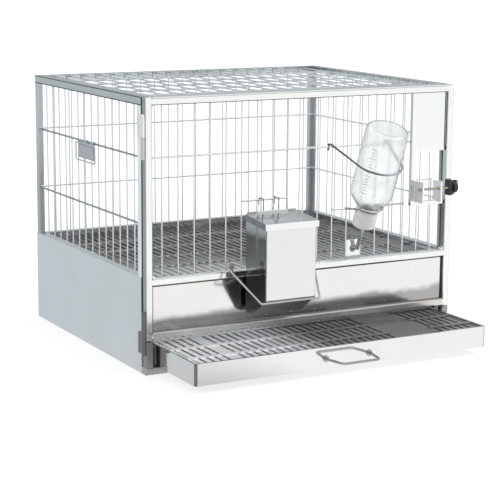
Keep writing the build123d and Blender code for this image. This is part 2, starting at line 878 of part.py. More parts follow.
def bottle_cradle():
    """Wire loop that carries the bottle's shoulder, with its cross wire on the door grid."""
    rise = neck_top + cradle_rise
    flare = (bottle_diameter - bottle_neck) / 2
    seat = bottle_neck / 2 + flare * cradle_rise / bottle_shoulder
    radius = seat + (cradle_wire / 2 + slide_gap) / cos(atan2(flare, bottle_shoulder))
    tails = [Vector(bottle_place + x, door_rib_y - rib_wire / 2, lower_rib_height)
             for x in (-radius, radius)]
    points = [tails[0]] + loop_points(rise, radius) + [tails[1]]
    loop = bent_wire(points, loop_bend_share * radius, cradle_wire)
    left = max(x for x in door_uprights if x < bottle_place - radius)
    right = max(x for x in door_uprights if x < plate_left)
    cross = rod((left, door_rib_y, lower_rib_height), (right, door_rib_y, lower_rib_height), rib_wire)
    return [loop, cross]


def bottle_retainer():
    """Spring wire across the bottle's front, hooked over the door's upper rib at both ends."""
    radius = bottle_diameter / 2 + slide_gap + retainer_wire / 2
    bend = loop_bend_share * radius
    reach = retainer_hook_reach
    hook = [(reach, -retainer_hook_drop), (reach, reach), (-reach, reach)]
    left, right = (bottle_place + side * retainer_hook_spread / 2 for side in (-1, 1))
    first = [Vector(left, door_rib_y + y, upper_rib_height + z) for y, z in hook]
    last = [Vector(right, door_rib_y + y, upper_rib_height + z) for y, z in reversed(hook)]
    hook_bends = [retainer_hook_bend] * 2
    points = first + loop_points(retainer_rise, radius) + last
    return bent_wire(points, hook_bends + [bend] * 4 + hook_bends, retainer_wire)


def sipper_plate():
    left = max(x for x in door_uprights if x < bottle_place) + upright_wire / 2
    right = min(x for x in door_uprights if x > bottle_place) - upright_wire / 2
    depth = (sipper_plate_front, sipper_plate_front + sipper_plate_sheet)
    middle = (left + right) / 2
    hole_z = window_bottom + sipper_plate_height / 2
    plate = block((left, right), depth, (window_bottom, window_bottom + sipper_plate_height))
    return plate - rod((middle, depth[0], hole_z), (middle, depth[1], hole_z), sipper_hole)


# Card holder that swings on the left wall's upper rib

card_rib_x = -(frame_x - wall_rib_set)
card_ring = rib_wire / 2 + slide_gap
card_face = card_rib_x - card_ring - sheet
card_top = upper_rib_height - card_drop


def card_plate():
    middle = (post_front + post_rear) / 2
    gaps = [middle + y + upright_pitch / 2 for y in spread(post_rear - post_front, upright_pitch)]
    plate = block((card_face, card_face + sheet), (card_place - card_width / 2, card_place + card_width / 2),
                  (card_top - card_height, card_top))
    for side in (-1, 1):
        wanted = card_place + side * card_width / 4
        y = min(gaps, key=lambda gap: abs(gap - wanted))
        width = (y - card_ring_width / 2, y + card_ring_width / 2)
        ends = [(card_rib_x, place, upper_rib_height) for place in width]
        ring = rod(*ends, 2 * (card_ring + card_ring_wall)) - rod(*ends, 2 * card_ring)
        tab = block((card_face, card_face + sheet), width, (card_top, upper_rib_height))
        plate += tab + ring
    return plate


def card_frame():
    x = card_face - card_wire / 2
    high = card_top - card_wire
    low = high - card_frame_height
    sides = (card_place - card_frame_width / 2, card_place + card_frame_width / 2)
    points = [(x, sides[0], high), (x, sides[0], low), (x, sides[1], low), (x, sides[1], high)]
    return bent_wire(points, card_frame_bend, card_wire, close=True)


sides = (-1, 1)
hinge_places = ((upper_hinge_height, 1), (lower_hinge_height, -1))
web_places = ((-1, window_bottom, 1), (-1, window_top, -1), (1, window_bottom, 1))

nodes = {
    "front_sill": [front_sill()],
    "rear_sill": [rear_sill()],
    "base_rails": [base_rail(side) for side in sides],
    "portal_posts": [portal_post(side) for side in sides],
    "front_posts": [corner_post(side, body_front, 1) for side in sides],
    "rear_posts": [corner_post(side, frame_rear, -1) for side in sides],
    "side_top_rails": [side_top_rail(side) for side in sides],
    "front_top_rail": [cross_top_rail(body_front, 1)],
    "rear_top_rail": [cross_top_rail(frame_rear, -1)],
    "left_skirt": [side_skirt(-1)],
    "right_skirt": [side_skirt(1)],
    "rear_skirt": [rear_skirt()],
    "left_wall_grid": side_wall_grid(-1),
    "right_wall_grid": side_wall_grid(1),
    "rear_wall_grid": rear_wall_grid(),
    "roof_grid": roof_grid(),
    "floor_ledges": [floor_ledge(side) for side in sides],
    "floor_grid": floor_grid(),
    "tray_runners": [tray_runner(side) for side in sides],
    "tray_pan": [tray_pan()],
    "tray_ledges": [tray_ledge(side) for side in sides],
    "tray_grate": tray_grate(),
    "tray_handle": [tray_handle()],
    "tray_handle_bosses": [handle_boss(side) for side in sides],
    "hinge_body_halves": [hinge_body_half(*place) for place in hinge_places],
    "hinge_door_halves": [hinge_door_half(*place) for place in hinge_places],
    "hinge_pins": [hinge_pin_rod(height) for height, _ in hinge_places],
    "door_hinge_stile": [door_stile(-1)],
    "door_latch_stile": [door_stile(1)],
    "door_top_rail": [door_rail(window_top)],
    "door_mid_rail": [door_rail(panel_top)],
    "door_lower_rail": [door_rail(door_bottom)],
    "door_window_webs": [window_web(*place) for place in web_places],
    "door_panel": [door_panel()],
    "door_grid": door_grid(),
    "door_corner_plate": [corner_plate()],
    "door_corner_bars": corner_bars(),
    "latch_bearing": [latch_bearing()],
    "latch_eye": [latch_eye(place) for place in latch_eye_places],
    "latch_rod": [latch_bar(latch_rod_left, tongue_outer, latch_rod)],
    "latch_tongue": [latch_tongue()],
    "latch_knob": [latch_knob()],
    "latch_keeper": [latch_keeper()],
    "feeder_hopper": [feeder_hopper()],
    "feeder_baffle": [feeder_baffle()],
    "feeder_hooks": feeder_hooks(),
    "feeder_lid": [feeder_lid()],
    "feeder_lid_pin": [lid_pin_rod()],
    "bail_lugs": [bail_lug(side) for side in sides],
    "feeder_bail": [feeder_bail()],
    "bottle_shell": [bottle_shell()],
    "bottle_cap": [bottle_cap()],
    "drinking_tube": [drinking_tube()],
    "bottle_cradle": bottle_cradle(),
    "bottle_retainer": [bottle_retainer()],
    "sipper_plate": [sipper_plate()],
    "card_plate": [card_plate()],
    "card_frame": [card_frame()],
}

os.makedirs("parts", exist_ok=True)
for name, pieces in nodes.items():
    solids = [solid for piece in pieces for solid in piece.solids()]
    export_step(solids[0] if len(solids) == 1 else Compound(children=solids), f"parts/{name}.step")
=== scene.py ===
from math import cos, pi, radians, sin, tau

import bmesh
import bpy
from mathutils import Matrix, Vector


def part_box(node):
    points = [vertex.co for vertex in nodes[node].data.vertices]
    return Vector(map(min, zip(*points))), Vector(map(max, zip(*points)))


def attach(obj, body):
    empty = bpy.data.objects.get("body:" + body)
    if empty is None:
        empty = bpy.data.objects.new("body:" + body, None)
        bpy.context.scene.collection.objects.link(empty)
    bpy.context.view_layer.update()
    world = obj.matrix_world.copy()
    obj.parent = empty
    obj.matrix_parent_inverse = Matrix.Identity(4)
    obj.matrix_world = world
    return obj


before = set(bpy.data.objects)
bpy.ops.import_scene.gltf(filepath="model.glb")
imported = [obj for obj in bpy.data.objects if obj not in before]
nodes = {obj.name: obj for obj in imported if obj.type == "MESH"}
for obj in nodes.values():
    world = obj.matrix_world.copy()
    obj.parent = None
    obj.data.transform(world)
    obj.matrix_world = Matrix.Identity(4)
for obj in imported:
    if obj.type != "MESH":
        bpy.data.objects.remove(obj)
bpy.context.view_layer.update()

# Camera: it stands left of the door and a little above the roof, far off, with a long lens.
# Its place and turn were worked out from the cage's straight edges in the picture.
camera_place = Vector((-1.3647, -2.3074, 0.6965))
camera_turn, camera_dip, camera_roll = radians(28.727), radians(10.896), radians(0.418)
ahead = Vector((sin(camera_turn) * cos(camera_dip), cos(camera_turn) * cos(camera_dip), -sin(camera_dip)))
level_right = Vector((cos(camera_turn), -sin(camera_turn), 0))
level_up = level_right.cross(ahead)
picture_right = cos(camera_roll) * level_right + sin(camera_roll) * level_up
picture_up = -sin(camera_roll) * level_right + cos(camera_roll) * level_up
lens = bpy.data.cameras.new("lens")
lens.sensor_width = 36.0
lens.lens = 114.78
lens.clip_start = 0.05
camera = bpy.data.objects.new("camera", lens)
bpy.context.scene.collection.objects.link(camera)
camera.matrix_world = Matrix((picture_right, picture_up, -ahead)).transposed().to_4x4()
camera.location = camera_place
bpy.context.scene.camera = camera
bpy.context.scene.view_settings.view_transform = "Standard"


# Studio: a white floor that runs into a white backdrop, with soft lamps at the right, left and top.
# The air and the floor that the steel mirrors are shaded: white at the front right, grey elsewhere.
# A dark patch of floor at the front left shows only where one mirrored face shows in another.
def wire_up(tree, kind, links, **settings):
    """New shader node with its settings, and each named or numbered input linked or set."""
    node = tree.nodes.new(kind)
    for key, value in settings.items():
        setattr(node, key, value)
    for key, value in links.items():
        if isinstance(value, bpy.types.NodeSocket):
            tree.links.new(value, node.inputs[key])
        else:
            node.inputs[key].default_value = value
    return node


def tone_ramp(tree, value, stops):
    """Colours along a value from 0 to 1, each stop given as place and colour."""
    ramp = wire_up(tree, "ShaderNodeValToRGB", {0: value})
    marks = ramp.color_ramp.elements
    while len(marks) < len(stops):
        marks.new(1.0)
    for mark, (place, colour) in zip(marks, stops):
        mark.position = place
        mark.color = (*colour, 1)
    return ramp.outputs["Color"]


def blank_tree(owner):
    owner.use_nodes = True
    owner.node_tree.nodes.clear()
    return owner.node_tree


studio_air = bpy.data.worlds.new("studio_air")
bpy.context.scene.world = studio_air
tree = blank_tree(studio_air)
path = tree.nodes.new("ShaderNodeLightPath").outputs
place = tree.nodes.new("ShaderNodeTexCoord").outputs["Generated"]
height = wire_up(tree, "ShaderNodeSeparateXYZ", {0: place}).outputs["Z"]
mirrored_air = tone_ramp(tree, height, [
    (0.0, (0.50, 0.53, 0.54)), (0.40, (0.50, 0.54, 0.55)), (0.62, (0.95, 0.97, 0.98)), (1.0, (1, 1, 1))])
air_light = wire_up(tree, "ShaderNodeBackground", {"Color": (0.94, 0.97, 1, 1), "Strength": 0.8})
air_mirrored = wire_up(tree, "ShaderNodeBackground", {"Color": mirrored_air, "Strength": 1.0})
air_seen = wire_up(tree, "ShaderNodeBackground", {"Color": (1, 1, 1, 1), "Strength": 1.0})
seen = wire_up(tree, "ShaderNodeMath", {0: path["Is Camera Ray"], 1: path["Is Transmission Ray"]},
               operation="MAXIMUM").outputs[0]
unseen = wire_up(tree, "ShaderNodeMixShader", {0: path["Is Glossy Ray"], 1: air_light.outputs[0],
                                               2: air_mirrored.outputs[0]})
air = wire_up(tree, "ShaderNodeMixShader", {0: seen, 1: unseen.outputs[0], 2: air_seen.outputs[0]})
wire_up(tree, "ShaderNodeOutputWorld", {"Surface": air.outputs[0]})

floor_paint = bpy.data.materials.new("floor_paint")
tree = blank_tree(floor_paint)
path = tree.nodes.new("ShaderNodeLightPath").outputs
ground = tree.nodes.new("ShaderNodeNewGeometry").outputs["Position"]
spot = wire_up(tree, "ShaderNodeSeparateXYZ", {0: ground})
bearing = wire_up(tree, "ShaderNodeMath", {0: spot.outputs["Y"], 1: spot.outputs["X"]}, operation="ARCTAN2")
turn = wire_up(tree, "ShaderNodeMapRange", {"Value": bearing.outputs[0], "From Min": -pi, "From Max": pi})
all_round = [(0.0, (0.62, 0.63, 0.63)), (0.10, (0.60, 0.60, 0.60)), (0.22, (1, 1, 1)), (0.45, (1, 1, 1)),
             (0.55, (0.72, 0.72, 0.72)), (0.67, (0.64, 0.66, 0.66)), (0.80, (0.56, 0.63, 0.65)),
             (0.90, (0.58, 0.64, 0.66)), (1.0, (0.62, 0.63, 0.63))]
dark_sector = [(0.0, (0, 0, 0)), (0.10, (0, 0, 0)), (0.12, (1, 1, 1)), (0.19, (1, 1, 1)), (0.215, (0, 0, 0))]
dark_start, dark_full, dark_tone, second_mirror = 0.41, 0.47, (0.03, 0.03, 0.03, 1), 1.5
floor_tone, near_glow, glow_start, glow_full = (0.25, 0.25, 0.25, 1), 0.74, 0.8, 2.0
mirrored_strength = 1.1
reach = wire_up(tree, "ShaderNodeVectorMath", {0: ground}, operation="LENGTH").outputs["Value"]
far = wire_up(tree, "ShaderNodeMapRange", {"Value": reach, "From Min": dark_start, "From Max": dark_full})
twice = wire_up(tree, "ShaderNodeMath", {0: path["Glossy Depth"], 1: second_mirror},
                operation="GREATER_THAN")
far_twice = wire_up(tree, "ShaderNodeMath", {0: far.outputs[0], 1: twice.outputs[0]}, operation="MULTIPLY")
sector = tone_ramp(tree, turn.outputs[0], dark_sector)
darkness = wire_up(tree, "ShaderNodeMath", {0: sector, 1: far_twice.outputs[0]}, operation="MULTIPLY")
mirrored_floor = wire_up(tree, "ShaderNodeMix", {0: darkness.outputs[0], 7: dark_tone,
                                                 6: tone_ramp(tree, turn.outputs[0], all_round)},
                         data_type="RGBA").outputs[2]
floor_light = wire_up(tree, "ShaderNodeBsdfDiffuse", {"Color": floor_tone})
brighter = wire_up(tree, "ShaderNodeMapRange", {"Value": reach, "From Min": glow_start,
                                                "From Max": glow_full, "To Min": near_glow}).outputs[0]
floor_glow = wire_up(tree, "ShaderNodeEmission", {"Color": (1, 1, 1, 1), "Strength": brighter})
floor_mirrored = wire_up(tree, "ShaderNodeEmission", {"Color": mirrored_floor,
                                                      "Strength": mirrored_strength})
seen = wire_up(tree, "ShaderNodeMath", {0: path["Is Camera Ray"], 1: path["Is Transmission Ray"]},
               operation="MAXIMUM").outputs[0]
floor_seen = wire_up(tree, "ShaderNodeAddShader", {0: floor_light.outputs[0], 1: floor_glow.outputs[0]})
unseen = wire_up(tree, "ShaderNodeMixShader", {0: path["Is Glossy Ray"], 1: floor_light.outputs[0],
                                               2: floor_mirrored.outputs[0]})
shade = wire_up(tree, "ShaderNodeMixShader", {0: seen, 1: unseen.outputs[0], 2: floor_seen.outputs[0]})
wire_up(tree, "ShaderNodeOutputMaterial", {"Surface": shade.outputs[0]})
floor_reach = 30.0
floor_mesh = bpy.data.meshes.new("floor")
floor_mesh.from_pydata([(-floor_reach, -floor_reach, 0), (floor_reach, -floor_reach, 0),
                        (floor_reach, floor_reach, 0), (-floor_reach, floor_reach, 0)], [], [(0, 1, 2, 3)])
floor_mesh.materials.append(floor_paint)
floor = bpy.data.objects.new("floor", floor_mesh)
bpy.context.scene.collection.objects.link(floor)


def soft_lamp(name, place, aim, size, power):
    data = bpy.data.lights.new(name, "AREA")
    data.shape = "RECTANGLE"
    data.size, data.size_y = size
    data.energy = power
    lamp = bpy.data.objects.new(name, data)
    bpy.context.scene.collection.objects.link(lamp)
    lamp.location = place
    lamp.rotation_euler = (Vector(aim) - Vector(place)).to_track_quat("-Z", "Y").to_euler()
    lamp.visible_glossy = False


soft_lamp("key_lamp", (1.9, -1.9, 2.2), (0, 0.2, 0.2), (1.8, 1.4), 80)
soft_lamp("fill_lamp", (-2.2, -0.4, 1.8), (0, 0.2, 0.2), (1.4, 1.4), 20)
soft_lamp("top_lamp", (0, 0.6, 2.8), (0, 0.2, 0), (2.4, 2.4), 32)


# Base frame: rectangular stainless tube, butt joints welded and brushed off.
# Thin plates close the front sill's open ends, and the two portal posts stand on that sill.
def noise(tree, spot, scale, detail):
    """Cloudy value from 0 to 1 over a surface."""
    return wire_up(tree, "ShaderNodeTexNoise", {"Vector": spot, "Scale": scale, "Detail": detail}).outputs[0]


def steel(name, tone, rough, grain=(1, 1, 1), wave=0.0, stain=0.0, sides=1.0, under_rough=0.0, edge_shade=1.0,
          corners=1.0, shine=1.0, fade=None):
    """Stainless steel with drawn grain and uneven tone, a slow wave on thin sheet, brown stains, and painted
    light and shade.
    """
    paint = bpy.data.materials.new(name)
    paint.use_nodes = True
    tree = paint.node_tree
    shader = tree.nodes["Principled BSDF"]
    grain_scale, patch_scale, wave_scale = 700.0, 9.0, 5.0
    spot = tree.nodes.new("ShaderNodeTexCoord").outputs["Object"]
    drawn = wire_up(tree, "ShaderNodeMapping", {"Vector": spot, "Scale": grain}).outputs[0]
    fine = noise(tree, drawn, grain_scale, 3.0)
    patch = noise(tree, spot, patch_scale, 3.0)
    dark, light = [shade * 0.97 for shade in tone], [min(shade * 1.02, 1) for shade in tone]
    grained = tone_ramp(tree, fine, [(0.3, dark), (0.7, light)])
    stained = wire_up(tree, "ShaderNodeMapRange", {"Value": patch, "From Min": 0.45, "From Max": 0.75,
                                                   "To Max": stain})
    brown = [shade * warmth for shade, warmth in zip(tone, (0.62, 0.52, 0.42))]
    colour = wire_up(tree, "ShaderNodeMix", {0: stained.outputs[0], 6: grained, 7: (*brown, 1)},
                     data_type="RGBA").outputs[2]
    normal = tree.nodes.new("ShaderNodeTexCoord").outputs["Normal"]
    facing = wire_up(tree, "ShaderNodeSeparateXYZ", {0: normal}).outputs
    square = wire_up(tree, "ShaderNodeVectorMath", {0: normal, 1: normal}, operation="MULTIPLY").outputs[0]
    flatness = wire_up(tree, "ShaderNodeVectorMath", {0: square, 1: square},
                       operation="DOT_PRODUCT").outputs["Value"]
    away = wire_up(tree, "ShaderNodeMath", {0: facing["X"], 1: facing["Z"]}, operation="SUBTRACT").outputs[0]
    rolled = wire_up(tree, "ShaderNodeMath", {0: 1.0, 1: flatness}, operation="SUBTRACT").outputs[0]
    edge_shade_mask = wire_up(tree, "ShaderNodeMath", {0: away, 1: rolled}, operation="MULTIPLY").outputs[0]
    # Painted shade: faces that look left, rounded corners, and edges that round to the right or down are
    # painted darker.
    painted_light_marks = [(facing["X"], -0.5, -0.9, sides), (flatness, 0.95, 0.75, corners),
                (edge_shade_mask, 0.02, 0.1, edge_shade)]
    # A fade paints light: it brings the tone to a share of it between two places on one axis, with a ragged
    # border.
    if fade:
        axis, start, end, share, ragged = fade
        along = wire_up(tree, "ShaderNodeSeparateXYZ", {0: spot}).outputs[axis]
        border = wire_up(tree, "ShaderNodeMath", {0: patch, 1: ragged, 2: along}, operation="MULTIPLY_ADD")
        painted_light_marks.append((border.outputs[0], start, end, share))
    for value, plain, full, share in painted_light_marks:
        if share == 1.0:
            continue
        painted_light_factor = wire_up(tree, "ShaderNodeMapRange", {"Value": value, "From Min": plain, "From Max": full,
                                                      "To Min": 1.0, "To Max": share})
        colour = wire_up(tree, "ShaderNodeVectorMath", {0: colour, 1: painted_light_factor.outputs[0]},
                         operation="MULTIPLY").outputs[0]
    uneven = wire_up(tree, "ShaderNodeMapRange", {"Value": fine, "From Min": 0.3, "From Max": 0.7,
                                                  "To Min": rough * 0.92, "To Max": rough * 1.1})
    # Faces that look down can be left unpolished.
    matt = wire_up(tree, "ShaderNodeMapRange", {"Value": facing["Z"], "From Min": -0.4, "From Max": -0.8,
                                                "To Max": under_rough})
    roughness = wire_up(tree, "ShaderNodeMath", {0: uneven.outputs[0], 1: matt.outputs[0]}).outputs[0]
    scratch = wire_up(tree, "ShaderNodeBump", {"Strength": 0.006, "Distance": 0.0002, "Height": fine})
    slow = noise(tree, spot, wave_scale, 1.0)
    buckle = wire_up(tree, "ShaderNodeBump", {"Strength": wave, "Distance": 0.004, "Height": slow,
                                              "Normal": scratch.outputs[0]})
    shader.inputs["Metallic"].default_value = shine
    tree.links.new(colour, shader.inputs["Base Color"])
    tree.links.new(roughness, shader.inputs["Roughness"])
    tree.links.new(buckle.outputs[0], shader.inputs["Normal"])
    return paint


def finish(paint, *names):
    """Gives CAD nodes one finish."""
    for name in names:
        nodes[name].data.materials.clear()
        nodes[name].data.materials.append(paint)


def piece(name, mesh, paint, body):
    """New object from a bmesh, with its finish, body and material slot."""
    data = bpy.data.meshes.new(name)
    mesh.to_mesh(data)
    mesh.free()
    data.materials.append(paint)
    data.shade_smooth()
    data.set_sharp_from_angle(angle=radians(50))
    shape = bpy.data.objects.new(name, data)
    bpy.context.scene.collection.objects.link(shape)
    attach(shape, body)
    return shape


def add_block(mesh, low, high):
    """Box between two corners."""
    middle = (Vector(low) + Vector(high)) / 2
    size = Vector(high) - Vector(low)
    bmesh.ops.create_cube(mesh, size=1, matrix=Matrix.Translation(middle) @ Matrix.Diagonal((*size, 1)))


def add_blob(mesh, middle, size, turned=Matrix.Identity(3)):
    """Rounded lump, such as a spot of weld, of a given size on each axis."""
    rings, sides = 5, 10
    middle, half = Vector(middle), Vector(size) / 2
    rows = []
    for ring in range(rings + 1):
        rise = pi * ring / rings
        turns = [tau * side / sides for side in range(1 if ring in (0, rings) else sides)]
        circle = [Vector((sin(rise) * cos(turn), sin(rise) * sin(turn), cos(rise))) for turn in turns]
        rows.append([mesh.verts.new(middle + turned @ (half * spot)) for spot in circle])
    for upper, lower in zip(rows, rows[1:]):
        for side in range(sides):
            ahead_side = (side + 1) % sides
            corners = [upper[side % len(upper)], lower[side % len(lower)],
                       lower[ahead_side % len(lower)], upper[ahead_side % len(upper)]]
            mesh.faces.new(list(dict.fromkeys(corners)))


base_steel = steel("base_steel", (0.50, 0.50, 0.50), 0.28, (0.05, 1, 1), stain=0.3)
finish(base_steel, "front_sill", "rear_sill", "base_rails")
# Painted shade: the portal posts and their weld beads are painted dark grey.
portal_steel = steel("portal_steel", (0.34, 0.33, 0.33), 0.26, (1, 1, 0.05), stain=0.2)
finish(portal_steel, "portal_posts")
end_plate = 0.001
end_plates = bmesh.new()
low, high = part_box("front_sill")
plate_rear = min(high.y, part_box("left_skirt")[0].y)
add_block(end_plates, (low.x - end_plate, low.y, low.z), (low.x, plate_rear, high.z))
add_block(end_plates, (high.x, low.y, low.z), (high.x + end_plate, plate_rear, high.z))
piece("sill_end_plates", end_plates, base_steel, "cage_body")
bead, bead_stretch, beads_along = 0.0025, 1.3, 7
beads = bmesh.new()
post_low, post_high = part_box("portal_posts")
for side in (-1, 1):
    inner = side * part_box("door_panel")[1].x
    for step in range(beads_along):
        y = post_low.y + (post_high.y - post_low.y) * step / (beads_along - 1)
        add_blob(beads, (inner, y, high.z), (bead, bead * bead_stretch, bead))
piece("portal_weld_beads", beads, portal_steel, "cage_body")


# Angle frame: equal stainless angle, four corner posts and four top rails, welded at the corners.
# The posts keep a rougher mill finish than the rails, which are brushed along their length; the rear posts
# are painted darker as painted shade.
# Dark strips along both edges of each side rail are painted shade lines.
post_steel = steel("post_steel", (0.93, 0.94, 0.95), 0.45, (1, 1, 0.05), stain=0.05, shine=0.3)
finish(post_steel, "front_posts")
# Painted shade: the rear posts are darker than the front posts, and darker still below 0.36 m.
shaded_rear_post_steel = steel("shaded_rear_post_steel", (0.62, 0.64, 0.65), 0.35, (1, 1, 0.05), stain=0.1, shine=0.5,
                        fade=("Z", 0.36, 0.26, 0.8, 0))
finish(shaded_rear_post_steel, "rear_posts")
rail_steel = steel("rail_steel", (0.72, 0.75, 0.76), 0.22, (0.05, 0.05, 1), stain=0.12)
finish(rail_steel, "front_top_rail", "rear_top_rail")
# Painted shade: the side rails are a greyer copy of the front and rear rails' steel.
side_rail_steel = steel("side_rail_steel", (0.62, 0.63, 0.63), 0.22, (1, 0.05, 1), stain=0.12)
finish(side_rail_steel, "side_top_rails")
first_bead, bead_pitch, bead_squeeze, corner_bead_count = 0.002, 0.0025, 0.6, 5
corner_beads = bmesh.new()
for node in ("front_posts", "rear_posts"):
    low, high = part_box(node)
    face = low.y if node == "front_posts" else high.y
    for x, inward in ((low.x, 1), (high.x, -1)):
        for step in range(corner_bead_count):
            spot = (x + inward * (first_bead + bead_pitch * step), face, high.z)
            add_blob(corner_beads, spot, (bead, bead * bead_squeeze, bead * bead_squeeze))
piece("corner_weld_beads", corner_beads, rail_steel, "cage_body")
# Painted shade: thin near-black strips along the top and bottom edges of the side rails.
rail_edge_shade_paint = steel("rail_edge_shade_paint", (0.09, 0.09, 0.10), 0.3, (1, 0.05, 1), stain=0.1)
shade_line_height, shade_line_lift = 0.0018, 0.0003
low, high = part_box("side_top_rails")
rail_shade_lines = bmesh.new()
for x in (low.x, high.x):
    out = x + (shade_line_lift if x > 0 else -shade_line_lift)
    for z in (low.z, high.z - shade_line_height):
        add_block(rail_shade_lines, (min(x, out), low.y, z), (max(x, out), high.y, z + shade_line_height))
piece("side_rail_shade_lines", rail_shade_lines, rail_edge_shade_paint, "cage_body")


# Lower walls: polished stainless sheet with its top edge folded inwards, spot welded to the posts.
# Three shallow weld dimples show near each end of a sheet.
skirt_steel = steel("skirt_steel", (0.80, 0.81, 0.82), 0.10, (0.3, 0.3, 1), wave=0.05, stain=0.1)
finish(skirt_steel, "left_skirt", "right_skirt", "rear_skirt")
dimple, dimple_depth, dimple_inset = 0.004, 0.0003, 0.007
dimples = bmesh.new()
for node in ("left_skirt", "right_skirt", "rear_skirt"):
    low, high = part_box(node)
    for height_share in (0.2, 0.5, 0.8):
        z = low.z + (high.z - low.z) * height_share
        if node == "rear_skirt":
            for x in (low.x + dimple_inset, high.x - dimple_inset):
                add_blob(dimples, (x, high.y, z), (dimple, dimple_depth, dimple))
        else:
            x = low.x if node == "left_skirt" else high.x
            for y in (low.y + dimple_inset, high.y - dimple_inset):
                add_blob(dimples, (x, y, z), (dimple_depth, dimple, dimple))
piece("skirt_spot_welds", dimples, skirt_steel, "cage_body")


# Wire walls and roof: drawn stainless uprights laid inside thicker ribs, spot welded at each crossing.
# The lumps at the crossings are the welds, and the wire ends are welded to the angle and the folded sheet.
def wire_boxes(node):
    """Lowest and highest corner of each separate wire of a CAD node."""
    mesh = bmesh.new()
    mesh.from_mesh(nodes[node].data)
    bmesh.ops.remove_doubles(mesh, verts=mesh.verts, dist=1e-6)
    left, boxes = set(mesh.verts), []
    while left:
        group, edge = set(), [left.pop()]
        while edge:
            vert = edge.pop()
            group.add(vert)
            near = [link.other_vert(vert) for link in vert.link_edges]
            fresh = [other for other in near if other in left]
            left.difference_update(fresh)
            edge.extend(fresh)
        spots = [vert.co.copy() for vert in group]
        boxes.append((Vector(map(min, zip(*spots))), Vector(map(max, zip(*spots)))))
    mesh.free()
    return boxes


def crossings(boxes):
    """Points where two straight wires in different directions touch."""
    longest = [max(range(3), key=lambda axis: high[axis] - low[axis]) for low, high in boxes]
    touch = 0.0006
    for first in range(len(boxes)):
        for second in range(first):
            a, b = longest[first], longest[second]
            if a == b:
                continue
            (low_1, high_1), (low_2, high_2) = boxes[first], boxes[second]
            if all(low_1[k] < high_2[k] + touch and low_2[k] < high_1[k] + touch for k in range(3)):
                k = 3 - a - b
                point = (low_1 + high_1) / 2
                point[a] = (low_2[a] + high_2[a]) / 2
                point[k] = (max(low_1[k], low_2[k]) + min(high_1[k], high_2[k])) / 2
                yield point, k


def weld_wires(name, node, paint, body, size):
    """Lump of weld at each crossing of a CAD node's wires."""
    flattening = 0.55
    lumps = bmesh.new()
    for point, through in crossings(wire_boxes(node)):
        lump = [size, size, size]
        lump[through] = size * flattening
        add_blob(lumps, point, lump)
    return piece(name, lumps, paint, body)


weld_size = 0.0042
# Painted shade: the ribs outside the left wall are painted darker.
wall_wire = steel("wall_wire", (0.86, 0.88, 0.89), 0.3, (1, 1, 0.03), stain=0.15, shine=0.7,
                  fade=("X", -0.2933, -0.2937, 0.4, 0))
roof_wire = steel("roof_wire", (0.80, 0.83, 0.85), 0.24, (0.05, 0.05, 1), stain=0.15)
for node, paint in (("left_wall_grid", wall_wire), ("right_wall_grid", wall_wire),
                    ("rear_wall_grid", wall_wire), ("roof_grid", roof_wire)):
    finish(paint, node)
    weld_wires(node.replace("grid", "welds"), node, paint, "cage_body", weld_size)


# Lift-out floor: a wire grid on two folded ledges, painted darker than the walls as painted shade, with
# brown stains from use.
# Its wires run from front to rear on five ribs.
shaded_ledge_steel = steel("shaded_ledge_steel", (0.45, 0.45, 0.44), 0.3, (1, 0.05, 1), stain=0.4)
finish(shaded_ledge_steel, "floor_ledges")
shaded_floor_wire = steel("shaded_floor_wire", (0.52, 0.51, 0.50), 0.3, (1, 0.03, 1), stain=0.4)
finish(shaded_floor_wire, "floor_grid")
weld_wires("floor_welds", "floor_grid", shaded_floor_wire, "floor", weld_size)


# Tray: a folded sheet drawer on two folded runners, pulled out a third of its length.
# A grate of flat slats under cross strips lies on ledges inside it, and a bent wire pull is welded on.
runner_steel = steel("runner_steel", (0.40, 0.40, 0.40), 0.32, (1, 0.05, 1), stain=0.3)
finish(runner_steel, "tray_runners")
# Painted shade: the pan's rounded corners are painted darker.
tray_steel = steel("tray_steel", (0.80, 0.81, 0.82), 0.11, (0.06, 1, 1), wave=0.06, stain=0.08, corners=0.3)
finish(tray_steel, "tray_pan")
# Painted shade: the grate and its ledges are painted darker from x -0.10 m, at a fifth of their tone past x
# -0.02 m.
grate_steel = steel("grate_steel", (0.86, 0.87, 0.88), 0.25, (1, 0.04, 1), stain=0.1, shine=0.55,
                    fade=("X", -0.10, -0.02, 0.22, 0))
finish(grate_steel, "tray_grate", "tray_ledges")
pull_steel = steel("pull_steel", (0.42, 0.42, 0.41), 0.18, (0.04, 1, 1), stain=0.2)
finish(pull_steel, "tray_handle", "tray_handle_bosses")
foot_weld, foot_weld_depth = 0.0062, 0.0012
foot_welds = bmesh.new()
low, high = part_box("tray_handle_bosses")
boss_reach = (high.z - low.z) / 2
for x in (low.x + boss_reach, high.x - boss_reach):
    add_blob(foot_welds, (x, low.y, (low.z + high.z) / 2), (foot_weld, foot_weld_depth, foot_weld))
piece("tray_handle_welds", foot_welds, pull_steel, "tray")
slat_dot, slat_dot_height = 0.0022, 0.0004
slat_dots = bmesh.new()
grate_boxes = wire_boxes("tray_grate")
slats = [(low, high) for low, high in grate_boxes if high.y - low.y > high.x - low.x]
strips = [(low, high) for low, high in grate_boxes if high.y - low.y < high.x - low.x]
for slat_low, slat_high in slats:
    for strip_low, strip_high in strips:
        if slat_low.x < strip_low.x or slat_high.x > strip_high.x:
            continue
        spot = ((slat_low.x + slat_high.x) / 2, (strip_low.y + strip_high.y) / 2, strip_high.z)
        add_blob(slat_dots, spot, (slat_dot, slat_dot, slat_dot_height))
piece("tray_grate_welds", slat_dots, grate_steel, "tray")


